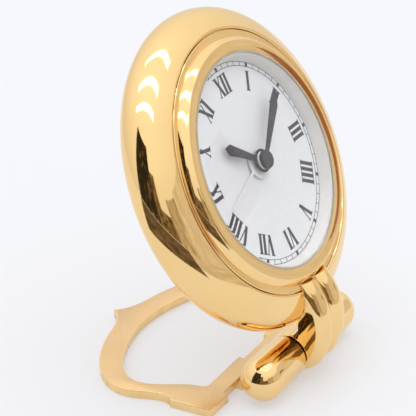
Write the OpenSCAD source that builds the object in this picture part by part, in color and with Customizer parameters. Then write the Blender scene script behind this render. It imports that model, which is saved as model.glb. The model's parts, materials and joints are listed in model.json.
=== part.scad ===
// Folding travel alarm clock: a round rolled case on a ribbed lug, hinged to a flat ring foot.
// The clock frame has its origin at the dial's centre, X to three, Y to twelve and Z towards the reader.
// The model frame has +Z up, +Y to the back and its origin under the middle of the whole clock.

/* [Case] */
// Outer diameter of the round case
case_d = 75; // [74:0.5:92]
// Depth of the case's widest line behind the dial face
case_mid = 5.5; // [5.3:0.1:6.2]
// Rise of the case's front above its widest line
case_front_h = 7.6; // [7.2:0.1:9]
// Depth of the case's rear below its widest line
case_rear_h = 6.4; // [6.2:0.1:8]
// Radial width of the rolled section
case_roll_w = 10.3; // [9:0.1:12]
// Radius of the roll in front of the widest line
roll_front_r = 6.5; // [5:0.1:6.9]
// Radius of the roll behind the widest line
roll_rear_r = 5; // [4:0.1:5.6]
// Wall of the case shell
case_wall = 1.4; // [1:0.1:1.8]
// Lean of the case back from upright, when it stands open
lean = 26.3; // [15:0.1:35]

/* [Bezel and crystal] */
// Outer diameter of the bezel ring
bezel_d = 61; // [60.6:0.1:64]
// Inner diameter of the bezel's lip
lip_d = 50.3; // [48:0.1:50.6]
// Height of the lip's inner edge above the dial
lip_h = 3.25; // [3.15:0.05:3.45]
// Rise of the bezel's crest above its lip
crest_rise = 0.15; // [0:0.05:0.6]
// Distance of the crest inwards from the bezel's outside
crest_in = 2.75; // [2.4:0.05:3]
// Radius of the rounded crest
crest_r = 0.6; // [0.3:0.1:0.8]
// Width of the low flange outside the bezel's slope
flange_w = 1.3; // [1:0.1:1.6]
// Height of the flange above the dial
flange_h = 1.4; // [1.3:0.05:1.5]
// Radius of the rounded edges on both sides of the groove
groove_edge_r = 0.5; // [0.2:0.05:0.6]
// Width of the fine groove round the bezel
groove_w = 0.16; // [0.1:0.02:0.4]
// Height of the bezel's seat on the case above the dial
seat_h = 0.5; // [0.2:0.1:0.9]
// Radial step from the bezel's outside in to its collar
seat_w = 1.35; // [1:0.05:1.8]
// Length of the bezel's collar below its seat
collar_h = 1.5; // [1:0.1:2.4]
// Thickness of the crystal
crystal_t = 0.7; // [0.5:0.05:0.9]
// Height of the underside of the crystal's edge above the dial
crystal_h = 2.8; // [2.75:0.05:2.95]
// Rise of the domed crystal from its edge to its middle
crystal_rise = 0.7; // [0.6:0.05:1.2]
// Bevel on the crystal's front edge
crystal_bevel = 0.2; // [0.1:0.05:0.3]
// Radial width of the crystal's gasket
gasket_w = 0.4; // [0.3:0.05:0.6]
// Radial clearance of pressed and seated pieces
press = 0.02; // [0.01:0.01:0.05]

/* [Dial] */
// Diameter of the dial plate
dial_d = 51.6; // [50.8:0.1:52.4]
// Thickness of the dial plate
dial_t = 0.5; // [0.4:0.05:0.8]
// Visible diameter of the dial inside the sloping ring
dial_view_d = 47.4; // [46.8:0.1:48]
// Thickness of the printed ink
ink_t = 0.04; // [0.03:0.01:0.08]
// Radius to the foot of the numerals
numeral_in_r = 16.7; // [15.5:0.1:17]
// Height of the numerals along the radius
numeral_h = 4.7; // [4:0.1:5]
// Width of the numerals' thick strokes
stroke_w = 0.85; // [0.6:0.05:1]
// Width of the numerals' thin strokes
hair_w = 0.28; // [0.2:0.02:0.4]
// Radius of the minute track's middle
track_r = 22.87; // [22.6:0.01:23]
// Width of the minute track between its two lines
track_w = 1; // [0.8:0.05:1.2]
// Width of the minute track's lines
track_line_w = 0.12; // [0.08:0.02:0.2]
// Width of the blocks at every fifth minute
block_w = 0.8; // [0.6:0.05:1]

/* [Hands] */
// Minutes past the hour that the clock shows
minutes = 8.6; // [0:0.1:59.9]
// Hour that the clock shows
hours = 10; // [0:1:11]
// Angle of the alarm hand from twelve
alarm_angle = 252; // [0:1:359]
// Length of the hour hand
hour_len = 13.3; // [11:0.1:15]
// Length of the hour hand's point
hour_tip = 1.6; // [1:0.1:3]
// Length of the minute hand
minute_len = 18.8; // [16:0.1:21]
// Length of the minute hand's point
minute_tip = 3.8; // [1.5:0.1:5]
// Length of the alarm hand
alarm_len = 17; // [14:0.1:20]
// Greatest width of the hour and minute hands
hand_w = 2.6; // [1.8:0.1:3]
// Width of the hour and minute hands at the hub
hand_root_w = 0.9; // [0.7:0.1:1.4]
// Thickness of the hands
hand_t = 0.22; // [0.15:0.01:0.3]
// Radius of the alarm hand's disc
alarm_disc_r = 3.9; // [3:0.1:4.5]
// Radius of the hour hand's disc
hour_disc_r = 2.7; // [2.3:0.1:3.2]
// Radius of the minute hand's disc
minute_disc_r = 2.25; // [1.9:0.05:2.6]
// Height of the alarm hand above the dial
alarm_hand_h = 0.4; // [0.3:0.05:0.6]
// Height of the hour hand above the dial
hour_hand_h = 1.5; // [1.2:0.05:1.7]
// Height of the minute hand above the dial
minute_hand_h = 2.45; // [2.3:0.05:2.5]

/* [Arbors] */
// Radius of the solid minute arbor
arbor_r = 0.6; // [0.5:0.05:0.8]
// Wall of the hour and alarm pipes
pipe_wall = 0.5; // [0.4:0.05:0.6]
// Radial running clearance of arbors, pipes and pins
run = 0.05; // [0.02:0.01:0.09]
// Distance from the centre to the two setting stems
stem_dist = 10.8; // [10:0.1:12]
// Distance of the setting stems below the centre
stem_drop = 9.46; // [9:0.02:10]
// Radius of the setting stems
stem_r = 1; // [0.8:0.1:1.3]

/* [Movement] */
// Outer radius of the movement's housing
move_r = 22; // [21.8:0.1:22.4]
// Wall of the movement's housing
move_wall = 1; // [0.8:0.1:1.2]
// Depth of the movement's front face behind the dial face
move_front = 0.9; // [0.7:0.05:1.1]
// Depth of the movement's rear face behind the dial face
move_rear = 9.9; // [9.7:0.1:10.2]
// Thickness of the movement's plates
plate_t = 1; // [0.8:0.1:1.2]
// Radius of the button cell
cell_r = 5.8; // [5:0.1:5.8]
// Thickness of the button cell
cell_t = 5.4; // [3:0.1:5.4]

/* [Back] */
// Radius of the back cover
cover_r = 27; // [26:0.1:27.2]
// Thickness of the back cover
cover_t = 1.2; // [1:0.1:1.4]
// Width of the shelf that the back cover screws to
shelf_w = 1.9; // [1.4:0.1:2.2]
// Radius of the setting knobs
knob_r = 3.8; // [3:0.1:4]
// Height of the setting knobs
knob_h = 2.6; // [2:0.1:3]
// Radius of the battery hatch
hatch_r = 6.9; // [6.7:0.1:7.2]
// Travel of the alarm switch
switch_travel = 3; // [2:0.1:4]

/* [Lug and hinge] */
// Distance of the hinge axis below the case's edge
hinge_gap = 6.7; // [6:0.1:8]
// Depth of the hinge axis behind the dial face
hinge_back = 10.06; // [9.6:0.02:10.6]
// Radius of the hinge barrel
barrel_r = 5.17; // [4.6:0.01:5.6]
// Length of the hinge barrel over its round ends
barrel_l = 45.4; // [42:0.1:50]
// Width of the lug
lug_w = 12.2; // [11:0.1:15]
// Share of a rib's section that stands proud of the valley between the ribs
rib_share = 0.37; // [0.3:0.01:0.45]
// Radius of the long curve along the top of the ribs
lug_curve_r = 16.2; // [15.8:0.1:16.6]
// Radius of the short curve round the nose
nose_curve_r = 7.5; // [7:0.1:8]
// Angle at which the long curve turns into the short one
nose_turn = 146; // [144:1:150]
// Gap between the lug and the bezel
joint_gap = 0.12; // [0.08:0.02:0.3]
// Radius of the hinge pin
pin_r = 1.5; // [1.2:0.1:1.8]
// Thickness of the friction washers beside the lug
washer_t = 0.3; // [0.2:0.05:0.5]

/* [Foot] */
// Length of the foot from the hinge axis to its point
foot_l = 50.2; // [46:0.1:60]
// Greatest width of the foot
foot_w = 61.2; // [58:0.1:74]
// Thickness of the foot
foot_t = 2.1; // [1.6:0.1:2.6]
// Height of the barrel's underside above the ground
barrel_lift = 0.57; // [0.3:0.01:1]
// Width of the foot's ring at its sides
ring_w = 4.1; // [3.5:0.1:5]
// Width of the foot's ring at its point
point_w = 9.2; // [8:0.1:10]
// Distance from the hinge axis to the foot's front edge
bar_front = 6.65; // [6.3:0.05:7.2]
// Width of the foot's front bar
bar_w = 5.85; // [5:0.05:6.5]
// Half the width over the foot's square shoulders
shoulder_w = 29.9; // [28:0.1:32]
// Length of the foot's shoulders from front to back
shoulder_l = 10.6; // [10:0.1:12]

/* [Hidden] */
$fn = 64;

gold = [0.92, 0.76, 0.47];
satin_gold = [0.93, 0.79, 0.57];
brass = [0.8, 0.66, 0.36];
steel = [0.75, 0.76, 0.78];
silver = [0.85, 0.84, 0.82];
ink = [0.2, 0.2, 0.24];
blued = [0.3, 0.3, 0.35];
pale = [0.9, 0.89, 0.85];
white = [0.93, 0.94, 0.95];
black = [0.12, 0.12, 0.13];

case_r = case_d / 2;
bezel_r = bezel_d / 2;
lip_r = lip_d / 2;
groove_r = bezel_r + groove_w;
collar_r = bezel_r - seat_w;
rear_z = -case_mid - case_rear_h;
cover_top = rear_z + cover_t;
shelf_top = cover_top + 1.2;
crystal_r = lip_r - gasket_w - press;
dome_r = (pow(crystal_r, 2) + pow(crystal_rise, 2)) / (2 * crystal_rise);
hinge_drop = case_r + hinge_gap;
axis_h = barrel_r + barrel_lift;
hour_pipe_r = arbor_r + run + pipe_wall;
alarm_pipe_r = hour_pipe_r + run + pipe_wall;
minute_turn = minutes * 6;
hour_turn = (hours + minutes / 60) * 30;
stem_x = sqrt(stem_dist * stem_dist - stem_drop * stem_drop);

// Points of an arc about a centre, from one angle to another
function arc(c, r, a0, a1, n) = [
    for (i = [0 : n])
        let (a = a0 + (a1 - a0) * i / n)
            c + r * [cos(a), sin(a)]
];
// Points of a Bezier curve without its last point
function bez(a, b, c, d, n) = [
    for (i = [0 : n - 1])
        let (t = i / n)
            a * pow(1 - t, 3) + b * 3 * t * pow(1 - t, 2) + c * 3 * t * t * (1 - t) + d * pow(t, 3)
];
function mirrored(points) = [for (i = [len(points) - 1 : -1 : 0]) [-points[i].x, points[i].y]];
function unit(v) = v / norm(v);

// Large radius that carries the roll from its edge arc to its flat crown
function crown_r(h, edge_r) =
    (pow(case_roll_w - edge_r, 2) + h * h - edge_r * edge_r) / (2 * (h - edge_r));
function roll_join(h, edge_r) = atan2(crown_r(h, edge_r) - h, case_roll_w - edge_r);
roll_in = case_r - case_roll_w;
// Half of the rolled section from its widest line to the radius to_r, drawn in by inset; side is 1 or -1
function roll(h, edge_r, side, inset, to_r) =
    let (big = crown_r(h, edge_r))
    let (mid = roll_join(h, edge_r))
    let (last = to_r > roll_in ? acos((to_r - roll_in) / (big - inset)) : 90)
    let (edge = arc([case_r - edge_r, 0], edge_r - inset, 0, mid, 8))
    let (crown = arc([roll_in, h - big], big - inset, mid, last, 8))
    let (flat = to_r < roll_in ? [[to_r, h - inset]] : [])
    [for (p = concat(edge, [for (i = [1 : 8]) crown[i]], flat)) [p.x, side * p.y - case_mid]];
function reversed(points) = [for (i = [len(points) - 1 : -1 : 0]) points[i]];
function skin(inset, front_to, rear_to) = concat(
    reversed(roll(case_front_h, roll_front_r, 1, inset, front_to)),
    roll(case_rear_h, roll_rear_r, -1, inset, rear_to)
);
crest_z = lip_h + crest_rise;
crease_r = bezel_r - flange_w;
// Centre of the rounded edge that leads from the roll down into the groove
front_crown = crown_r(case_front_h, roll_front_r);
crown_z = case_front_h - front_crown - case_mid;
groove_c = [
    groove_r + groove_edge_r,
    crown_z + sqrt(pow(front_crown - groove_edge_r, 2) - pow(groove_r + groove_edge_r - roll_in, 2))
];
groove_turn = atan2(groove_c.y - crown_z, groove_c.x - roll_in);

module on_case() {
    translate([0, hinge_y, axis_h])
        rotate([90 - lean, 0, 0])
            translate([0, hinge_drop, hinge_back])
                children();
}
module ring(r_out, r_in, z0, z1) {
    translate([0, 0, z0])
        difference() {
            cylinder(r = r_out, h = z1 - z0);
            translate([0, 0, -1])
                cylinder(r = r_in, h = z1 - z0 + 2);
        }
}
module rod(r, z0, z1) {
    translate([0, 0, z0])
        cylinder(r = r, h = z1 - z0);
}

/* Case, bezel and crystal */
holder_r = collar_r - 0.15;
lug_pad_z = -case_mid + case_front_h - 4.2;
lug_screw_x = lug_w / 4;
lug_screw_y = hinge_drop - 11.7;
lug_screw_r = 0.8;
lug_screw_top = 1.9;
module case_body() {
    inner = skin(case_wall, groove_r, cover_r + 1.2);
    shelf_r = cover_r + press - shelf_w;
    color(gold)
        on_case()
            difference() {
                union() {
                    rotate_extrude($fn = 128)
                        polygon(concat(
                            arc(groove_c, groove_edge_r, 180, groove_turn + 12, 5),
                            skin(0, roll_in + front_crown * cos(groove_turn), cover_r + press),
                            [[cover_r + press, cover_top], [shelf_r, cover_top], [shelf_r, shelf_top]],
                            [[cover_r + 1.2, shelf_top]],
                            reversed(inner),
                            [[groove_r, seat_h - 3.1], [collar_r + press, seat_h - 3.1]],
                            [[collar_r + press, seat_h]],
                            [[groove_r, seat_h]]
                        ));
                    for (side = [-1, 1])
                        translate([side * lug_screw_x, -lug_screw_y, 0])
                            rod(2.2, lug_pad_z, -case_mid + case_front_h - 2.45);
                }
                for (side = [-1, 1])
                    translate([side * lug_screw_x, -lug_screw_y, 0])
                        rod(lug_screw_r + press, lug_pad_z - 1, 5);
                for (a = back_screw_angles)
                    rotate([0, 0, a])
                        translate([0, back_screw_dist, 0])
                            rod(back_screw_r, cover_top - 1, shelf_top + 1);
            }
}
crest_x = bezel_r - crest_in;
slope_angle = atan2(crest_z - flange_h, crease_r - crest_x);
top_angle = atan2(crest_rise, crest_x - lip_r);
// Centre of the crest's arc, which touches both the sloping top and the outer slope
crest_half = (180 - slope_angle - top_angle) / 2;
crest_dir = -90 + (top_angle - slope_angle) / 2;
crest_c = [crest_x, crest_z] + crest_r / sin(crest_half) * [cos(crest_dir), sin(crest_dir)];
bezel_top = concat(
    [[lip_r, lip_h]],
    arc(crest_c, crest_r, 90 + top_angle, 90 - slope_angle, 8),
    [[crease_r, flange_h]],
    arc([bezel_r - groove_edge_r / 2, flange_h - groove_edge_r / 2], groove_edge_r / 2, 90, 0, 4)
);
shelf_in_r = dial_d / 2 + 0.3;
module bezel() {
    color(gold)
        on_case()
            rotate_extrude($fn = 128)
                polygon(concat(
                    bezel_top,
                    [[bezel_r, seat_h], [collar_r, seat_h], [collar_r, seat_h - collar_h]],
                    [[shelf_in_r, seat_h - collar_h], [shelf_in_r, crystal_h - 0.3], [lip_r, crystal_h - 0.3]]
                ));
}
// Points of the dome's curve, raised by up, from its edge less the bevel towards its middle
function dome(bevel, up) =
    let (last = acos((crystal_r - bevel) / dome_r))
    arc([0, crystal_h + crystal_rise - dome_r + up], dome_r, last, 90, 10);
module crystal() {
    color([0.9, 0.95, 1, 0.3])
        on_case()
            rotate_extrude($fn = 128)
                polygon(concat(
                    reversed(dome(0, 0)),
                    [[crystal_r, crystal_h], [crystal_r, crystal_h + crystal_t - crystal_bevel]],
                    dome(crystal_bevel, crystal_t),
                    [[0, crystal_h + crystal_rise + crystal_t]]
                ));
}
module crystal_gasket() {
    color(pale)
        on_case()
            ring(lip_r, crystal_r, crystal_h, lip_h + 0.05, $fn = 128);
}
module rehaut_ring() {
    color(silver)
        on_case()
            rotate_extrude($fn = 128)
                polygon([
                    [dial_view_d / 2, 0.02], [crystal_r - 0.4, crystal_h], [lip_r - press, crystal_h],
                    [lip_r - press, crystal_h - 0.35], [dial_d / 2, crystal_h - 0.35], [dial_d / 2, 0.02]
                ]);
}

/* Dial and its print */
module dial() {
    color(white)
        on_case()
            difference() {
                rod(dial_d / 2, -dial_t, 0, $fn = 128);
                rod(alarm_pipe_r + run, -dial_t - 1, 1);
            }
}
module ink_on_dial() {
    color(ink)
        on_case()
            linear_extrude(ink_t)
                children();
}
serif_h = 0.22;
serif_out = 0.22;
// A stroke with level ends that leans from x0 at the foot to x1 at the head
module stroke(x0, x1, w) {
    polygon([[x0 - w / 2, 0], [x0 + w / 2, 0], [x1 + w / 2, numeral_h], [x1 - w / 2, numeral_h]]);
}
module serif(x, y, w) {
    translate([x - w / 2 - serif_out, y])
        square([w + 2 * serif_out, serif_h]);
}
module glyph_i() {
    stroke(0, 0, stroke_w);
    serif(0, 0, stroke_w);
    serif(0, numeral_h - serif_h, stroke_w);
}
v_half = 0.9;
module glyph_v() {
    stroke(0.1, -v_half, stroke_w);
    stroke(0.1, v_half, hair_w);
    serif(-v_half, numeral_h - serif_h, stroke_w);
    serif(v_half, numeral_h - serif_h, hair_w);
}
x_half = 0.85;
module glyph_x() {
    stroke(x_half, -x_half, stroke_w);
    stroke(-x_half, x_half, hair_w);
    for (y = [0, numeral_h - serif_h])
        for (side = [-1, 1])
            serif(side * x_half, y, y > 0 == side < 0 ? stroke_w : hair_w);
}
i_step = 1.42;
v_step = 2.6;
x_step = 2.4;
// Room that one letter takes along the numeral: 0 is I, 1 is V and 2 is X
function step_of(letter) = [i_step, v_step, x_step][letter];
function room(letters, n) = n == 0 ? 0 : room(letters, n - 1) + step_of(letters[n - 1]);
NUMERALS = [
    [2, 0, 0], [0], [0, 0], [0, 0, 0], [0, 0, 0, 0], [1],
    [1, 0], [1, 0, 0], [1, 0, 0, 0], [0, 2], [2], [2, 0]
];
module numeral(letters) {
    for (i = [0 : len(letters) - 1])
        translate([room(letters, i) + step_of(letters[i]) / 2 - room(letters, len(letters)) / 2, 0])
            if (letters[i] == 0)
                glyph_i();
            else if (letters[i] == 1)
                glyph_v();
            else
                glyph_x();
}
module dial_numerals() {
    ink_on_dial()
        for (h = [0 : 11])
            rotate(-30 * h)
                translate([0, numeral_in_r])
                    numeral(NUMERALS[h]);
}
module circle_line(r) {
    difference() {
        circle(r + track_line_w / 2, $fn = 128);
        circle(r - track_line_w / 2, $fn = 128);
    }
}
module minute_track() {
    ink_on_dial() {
        circle_line(track_r - track_w / 2);
        circle_line(track_r + track_w / 2);
        for (m = [0 : 59])
            rotate(-6 * m)
                translate([0, track_r])
                    square([m % 5 == 0 ? block_w : track_line_w, track_w], center = true);
    }
}

/* Hands */
module lance(length, tip_l) {
    polygon([
        [-hand_root_w / 2, 0], [-hand_w / 2, length - tip_l], [0, length],
        [hand_w / 2, length - tip_l], [hand_root_w / 2, 0]
    ]);
}
module hand(disc_r, bore_r, z, turn) {
    on_case()
        rotate([0, 0, -turn])
            translate([0, 0, z])
                difference() {
                    union() {
                        cylinder(r = disc_r, h = hand_t);
                        linear_extrude(hand_t)
                            children();
                    }
                    rod(bore_r, -1, 1);
                }
}
module hour_hand() {
    color(blued)
        hand(hour_disc_r, hour_pipe_r, hour_hand_h, hour_turn)
            lance(hour_len, hour_tip);
}
module hour_hand_bush() {
    color(steel)
        on_case()
            ring(minute_disc_r - 0.35, hour_pipe_r, hour_hand_h + hand_t, minute_hand_h - 0.12);
}
module minute_hand() {
    color(blued)
        hand(minute_disc_r, arbor_r, minute_hand_h, minute_turn)
            lance(minute_len, minute_tip);
}
module hand_cap() {
    cap_z = minute_hand_h + hand_t;
    color(blued)
        on_case()
            difference() {
                rotate_extrude()
                    polygon(concat(
                        [[0, cap_z], [minute_disc_r - 0.15, cap_z]],
                        arc([minute_disc_r - 0.4, cap_z + 0.38], 0.25, 0, 90, 5),
                        [[0, cap_z + 0.63]]
                    ));
                rod(arbor_r, cap_z - 1, cap_z + 0.2);
            }
}
module alarm_hand() {
    color(pale)
        hand(alarm_disc_r, alarm_pipe_r, alarm_hand_h, alarm_angle)
            polygon([[-0.35, 0], [-0.3, alarm_len - 0.6], [0, alarm_len], [0.3, alarm_len - 0.6], [0.35, 0]]);
}

/* Gear teeth: slim teeth with room between them, pointing along +Y when turn is 0 */
function tooth(r, m, a, i, n) =
    let (mid = 90 + a + 360 * i / n)
    let (foot = 360 / n * 0.27)
    let (side = 360 / n * 0.2)
    let (tip = 360 / n * 0.09)
    [
        (r - 1.15 * m) * [cos(mid - foot), sin(mid - foot)],
        r * [cos(mid - side), sin(mid - side)],
        (r + 0.75 * m) * [cos(mid - tip), sin(mid - tip)],
        (r + 0.75 * m) * [cos(mid + tip), sin(mid + tip)],
        r * [cos(mid + side), sin(mid + side)],
        (r - 1.15 * m) * [cos(mid + foot), sin(mid + foot)]
    ];
module gear(n, m, turn, z0, z1) {
    translate([0, 0, z0])
        linear_extrude(z1 - z0)
            polygon([for (i = [0 : n - 1]) each tooth(n * m / 2, m, turn, i, n)]);
}

/* Wheels: tooth counts, modules and layers, given as depth behind the dial */
cannon_teeth = 12;
minute_teeth = 36;
minute_module = 2 * stem_dist / (cannon_teeth + minute_teeth);
pinion_teeth = 10;
hour_teeth = 40;
hour_module = 2 * stem_dist / (pinion_teeth + hour_teeth);
alarm_pinion_teeth = 16;
alarm_teeth = 48;
alarm_module = 2 * stem_dist / (alarm_pinion_teeth + alarm_teeth);
centre_teeth = 60;
third_pinion_teeth = 10;
third_teeth = 50;
rotor_teeth = 10;
centre_module = 0.25;
third_module = 0.2;
third_dist = centre_module * (centre_teeth + third_pinion_teeth) / 2;
rotor_dist = third_module * (third_teeth + rotor_teeth) / 2;
third_angle = 60;
rotor_angle = -20;
third_xy = third_dist * [cos(third_angle), sin(third_angle)];
rotor_xy = third_xy + rotor_dist * [cos(rotor_angle), sin(rotor_angle)];
time_xy = [-stem_x, -stem_drop];
alarm_xy = [stem_x, -stem_drop];
time_dir = atan2(time_xy.y, time_xy.x) - 90;
alarm_dir = atan2(alarm_xy.y, alarm_xy.x) - 90;
inner_front = -move_front - plate_t;
inner_rear = -move_rear + plate_t;
wheel_t = 0.6;
alarm_layer = inner_front - 0.5;
hour_layer = alarm_layer - 1.2;
minute_layer = hour_layer - 1.2;
centre_layer = minute_layer - 1.3;
third_layer = centre_layer - 1;
// Turn that sets a gap of the second gear on the line of centres, where the first has a tooth
function meet(n, dir) = dir + 180 + 180 / n;
module at(p) {
    translate([p.x, p.y, 0])
        children();
}
module minute_arbor() {
    color(steel)
        on_case()
            union() {
                rod(arbor_r, -move_rear, minute_hand_h + hand_t + 0.15);
                gear(cannon_teeth, minute_module, time_dir, minute_layer - wheel_t, minute_layer);
            }
}
module minute_wheel() {
    color(brass)
        on_case()
            at(time_xy)
                difference() {
                    union() {
                        gear(
                            minute_teeth, minute_module, meet(minute_teeth, time_dir),
                            minute_layer - wheel_t, minute_layer
                        );
                        gear(
                            pinion_teeth, hour_module, meet(pinion_teeth, time_dir),
                            minute_layer, hour_layer + 0.05
                        );
                    }
                    rod(stem_r, -move_rear, 0);
                }
}
module hour_wheel() {
    color(brass)
        on_case()
            difference() {
                union() {
                    rod(hour_pipe_r, hour_layer - wheel_t, hour_hand_h + hand_t + 0.3);
                    gear(hour_teeth, hour_module, time_dir, hour_layer - wheel_t, hour_layer);
                }
                rod(arbor_r + run, -move_rear, 5);
            }
}
module alarm_wheel() {
    color(brass)
        on_case()
            difference() {
                union() {
                    rod(alarm_pipe_r, alarm_layer - wheel_t, alarm_hand_h + hand_t + 0.15);
                    gear(alarm_teeth, alarm_module, alarm_dir, alarm_layer - wheel_t, alarm_layer);
                }
                rod(hour_pipe_r + run, -move_rear, 5);
            }
}
module stem_shape(front_z) {
    rod(stem_r, rear_z - knob_lift - knob_h + 0.8, front_z);
    rod(0.5, front_z, -move_front - 0.3);
}
module time_stem() {
    color(steel)
        on_case()
            at(time_xy)
                stem_shape(hour_layer + 0.2);
}
module alarm_stem() {
    color(steel)
        on_case()
            at(alarm_xy)
                union() {
                    stem_shape(alarm_layer + 0.2);
                    gear(
                        alarm_pinion_teeth, alarm_module, meet(alarm_pinion_teeth, alarm_dir),
                        alarm_layer - wheel_t, alarm_layer
                    );
                }
}
module centre_wheel() {
    color(brass)
        on_case()
            difference() {
                union() {
                    gear(centre_teeth, centre_module, third_angle - 90, centre_layer - wheel_t, centre_layer);
                    rod(1.4, centre_layer - wheel_t - 0.5, centre_layer + 0.4);
                }
                rod(arbor_r + run, -move_rear, 0);
            }
}
third_meet = meet(third_pinion_teeth, third_angle - 90);
module third_wheel() {
    color(brass)
        on_case()
            at(third_xy)
                union() {
                    gear(
                        third_pinion_teeth, centre_module, third_meet,
                        centre_layer - wheel_t - 0.2, centre_layer + 0.1
                    );
                    gear(third_teeth, third_module, rotor_angle - 90, third_layer - wheel_t, third_layer);
                    rod(0.4, inner_rear - 0.6, third_layer + 2.2);
                }
}
module rotor() {
    rotor_meet = meet(rotor_teeth, rotor_angle - 90);
    color(steel)
        on_case()
            at(rotor_xy)
                union() {
                    gear(rotor_teeth, third_module, rotor_meet, third_layer - wheel_t - 0.2, third_layer + 0.2);
                    rod(1.6, third_layer + 0.35, third_layer + 1.45);
                    rod(0.35, inner_rear - 0.6, third_layer + 2.2);
                }
}

/* Movement frame, coil and circuit */
stator_z = third_layer + 0.8;
stator_t = 0.8;
coil_x = 15.2;
coil_y = 5.5;
coil_z = stator_z + stator_t / 2;
coil_r = 1.9;
coil_l = 8.8;
core_r = 0.8;
leg_w = 1.8;
screw_dist = 19.2;
screw_angles = [60, 160, 270];
move_screw_r = 0.7;
module stator() {
    leg_in = coil_l / 2 + 0.1;
    leg_out = leg_in + leg_w;
    half = 2.9;
    right = rotor_xy.x + half;
    left = rotor_xy.x - half;
    color(steel)
        on_case()
            difference() {
                union() {
                    translate([0, 0, stator_z])
                        linear_extrude(stator_t)
                            polygon([
                                [coil_x + 1.2, coil_y - leg_out], [coil_x + 1.2, coil_y - leg_in],
                                [right, coil_y - leg_in], [right, coil_y + leg_in],
                                [coil_x + 1.2, coil_y + leg_in], [coil_x + 1.2, coil_y + leg_out],
                                [coil_x - 1.2, coil_y + leg_out], [left, rotor_xy.y + half],
                                [left, rotor_xy.y - half], [coil_x - 1.2, coil_y - leg_out]
                            ]);
                    translate([coil_x, coil_y, coil_z])
                        rotate([90, 0, 0])
                            cylinder(r = core_r, h = 2 * leg_out, center = true);
                }
                at(rotor_xy)
                    rod(2.1, stator_z - 1, stator_z + 2);
            }
}
module drive_coil() {
    color([0.72, 0.36, 0.2])
        on_case()
            translate([coil_x, coil_y, coil_z])
                rotate([90, 0, 0])
                    difference() {
                        union() {
                            cylinder(r = coil_r, h = coil_l - 1, center = true);
                            for (end = [-1, 1])
                                translate([0, 0, end * (coil_l / 2 - 0.3)])
                                    cylinder(r = coil_r + 0.1, h = 0.6, center = true);
                        }
                        cylinder(r = core_r + press, h = coil_l + 1, center = true);
                    }
}
bridge_t = 0.8;
module train_bridge() {
    rest_x = rotor_xy.x + 2.6;
    color(brass)
        on_case()
            difference() {
                translate([0, 0, stator_z + stator_t])
                    union() {
                        at(third_xy)
                            cylinder(r = 1.6, h = bridge_t);
                        linear_extrude(bridge_t)
                            polygon([
                                third_xy + [-0.5, -1.5], third_xy + [0.5, 1.5],
                                [rest_x, rotor_xy.y + 3.4], [rest_x, rotor_xy.y - 3.4]
                            ]);
                    }
                at(third_xy)
                    rod(0.4 + run, stator_z, 0);
                at(rotor_xy)
                    rod(0.35 + run, stator_z, 0);
            }
}
board_z = inner_rear + 0.3;
module circuit_board() {
    color([0.1, 0.35, 0.2])
        on_case()
            union() {
                translate([-18.6, -6.4, board_z])
                    cube([9.6, 10.4, 0.8]);
                translate([-12.8, -2.5, board_z + 0.8])
                    cylinder(r = 2.2, h = 0.7);
            }
}
module quartz_can() {
    color(steel)
        on_case()
            translate([-17.2, -5.6, board_z + 0.8 + 1.02])
                rotate([-90, 0, 0])
                    cylinder(r = 1, h = 6.2);
}
buzzer_xy = [13.2, -7.6];
buzzer_r = 5.4;
module buzzer() {
    color(black)
        on_case()
            at(buzzer_xy)
                difference() {
                    rod(buzzer_r, inner_rear + 0.05, inner_rear + 3.2);
                    rod(1, inner_rear + 2.4, inner_rear + 4);
                }
}
cell_xy = [-9.5, 11.5];
cell_z = -move_rear + 0.35;
module button_cell() {
    color(silver)
        on_case()
            at(cell_xy)
                union() {
                    rod(cell_r, cell_z + 0.5, cell_z + cell_t);
                    rod(cell_r - 1, cell_z, cell_z + 0.5);
                }
}
module battery_contacts() {
    top = cell_z + cell_t;
    color(brass)
        on_case()
            union() {
                translate([cell_xy.x - 1.5, cell_xy.y - 4, top + 0.02])
                    cube([3, 9.6, 0.3]);
                translate([cell_xy.x + cell_r + 0.05, cell_xy.y - 1.5, board_z])
                    cube([0.3, 3, top - board_z - 0.4]);
            }
}
module screw_posts(r, z0, z1) {
    for (a = screw_angles)
        at(screw_dist * [cos(a), sin(a)])
            rod(r, z0, z1);
}
module front_plate() {
    color(black)
        on_case()
            difference() {
                rod(move_r, inner_front, -move_front);
                rod(alarm_pipe_r + run, -move_rear, 1);
                for (p = [time_xy, alarm_xy])
                    at(p)
                        rod(0.5 + run, -move_rear, 1);
                screw_posts(move_screw_r, -move_rear, 1);
            }
}
module movement_housing() {
    color(black)
        on_case()
            difference() {
                union() {
                    difference() {
                        rod(move_r, -move_rear, inner_front);
                        rod(move_r - move_wall, inner_rear, 0);
                    }
                    screw_posts(1.6, inner_rear - 0.5, inner_front);
                }
                screw_posts(move_screw_r, inner_rear + 2, 1);
                rod(arbor_r + run, -move_rear - 1, 0);
                for (p = [time_xy, alarm_xy])
                    at(p)
                        rod(stem_r + run, -move_rear - 1, 0);
                at(third_xy)
                    rod(0.4 + run, inner_rear - 0.7, 0);
                at(rotor_xy)
                    rod(0.35 + run, inner_rear - 0.7, 0);
                at(cell_xy)
                    rod(cell_r + 0.2, -move_rear - 1, inner_rear + 1);
            }
}
module movement_screws() {
    color(steel)
        on_case()
            for (a = screw_angles)
                at(screw_dist * [cos(a), sin(a)])
                    union() {
                        rod(move_screw_r, inner_rear + 2.5, -move_front);
                        rod(1.3, -move_front, -dial_t - 0.05);
                    }
}
module movement_holder() {
    color(white)
        on_case()
            difference() {
                rod(holder_r, shelf_top + 0.03, seat_h - collar_h - 0.05, $fn = 128);
                rod(move_r + 0.05, shelf_top - 1, 1);
                for (a = back_screw_angles)
                    rotate([0, 0, a])
                        translate([0, back_screw_dist, 0])
                            rod(back_screw_r, shelf_top - 1, shelf_top + 3);
            }
}

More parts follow.
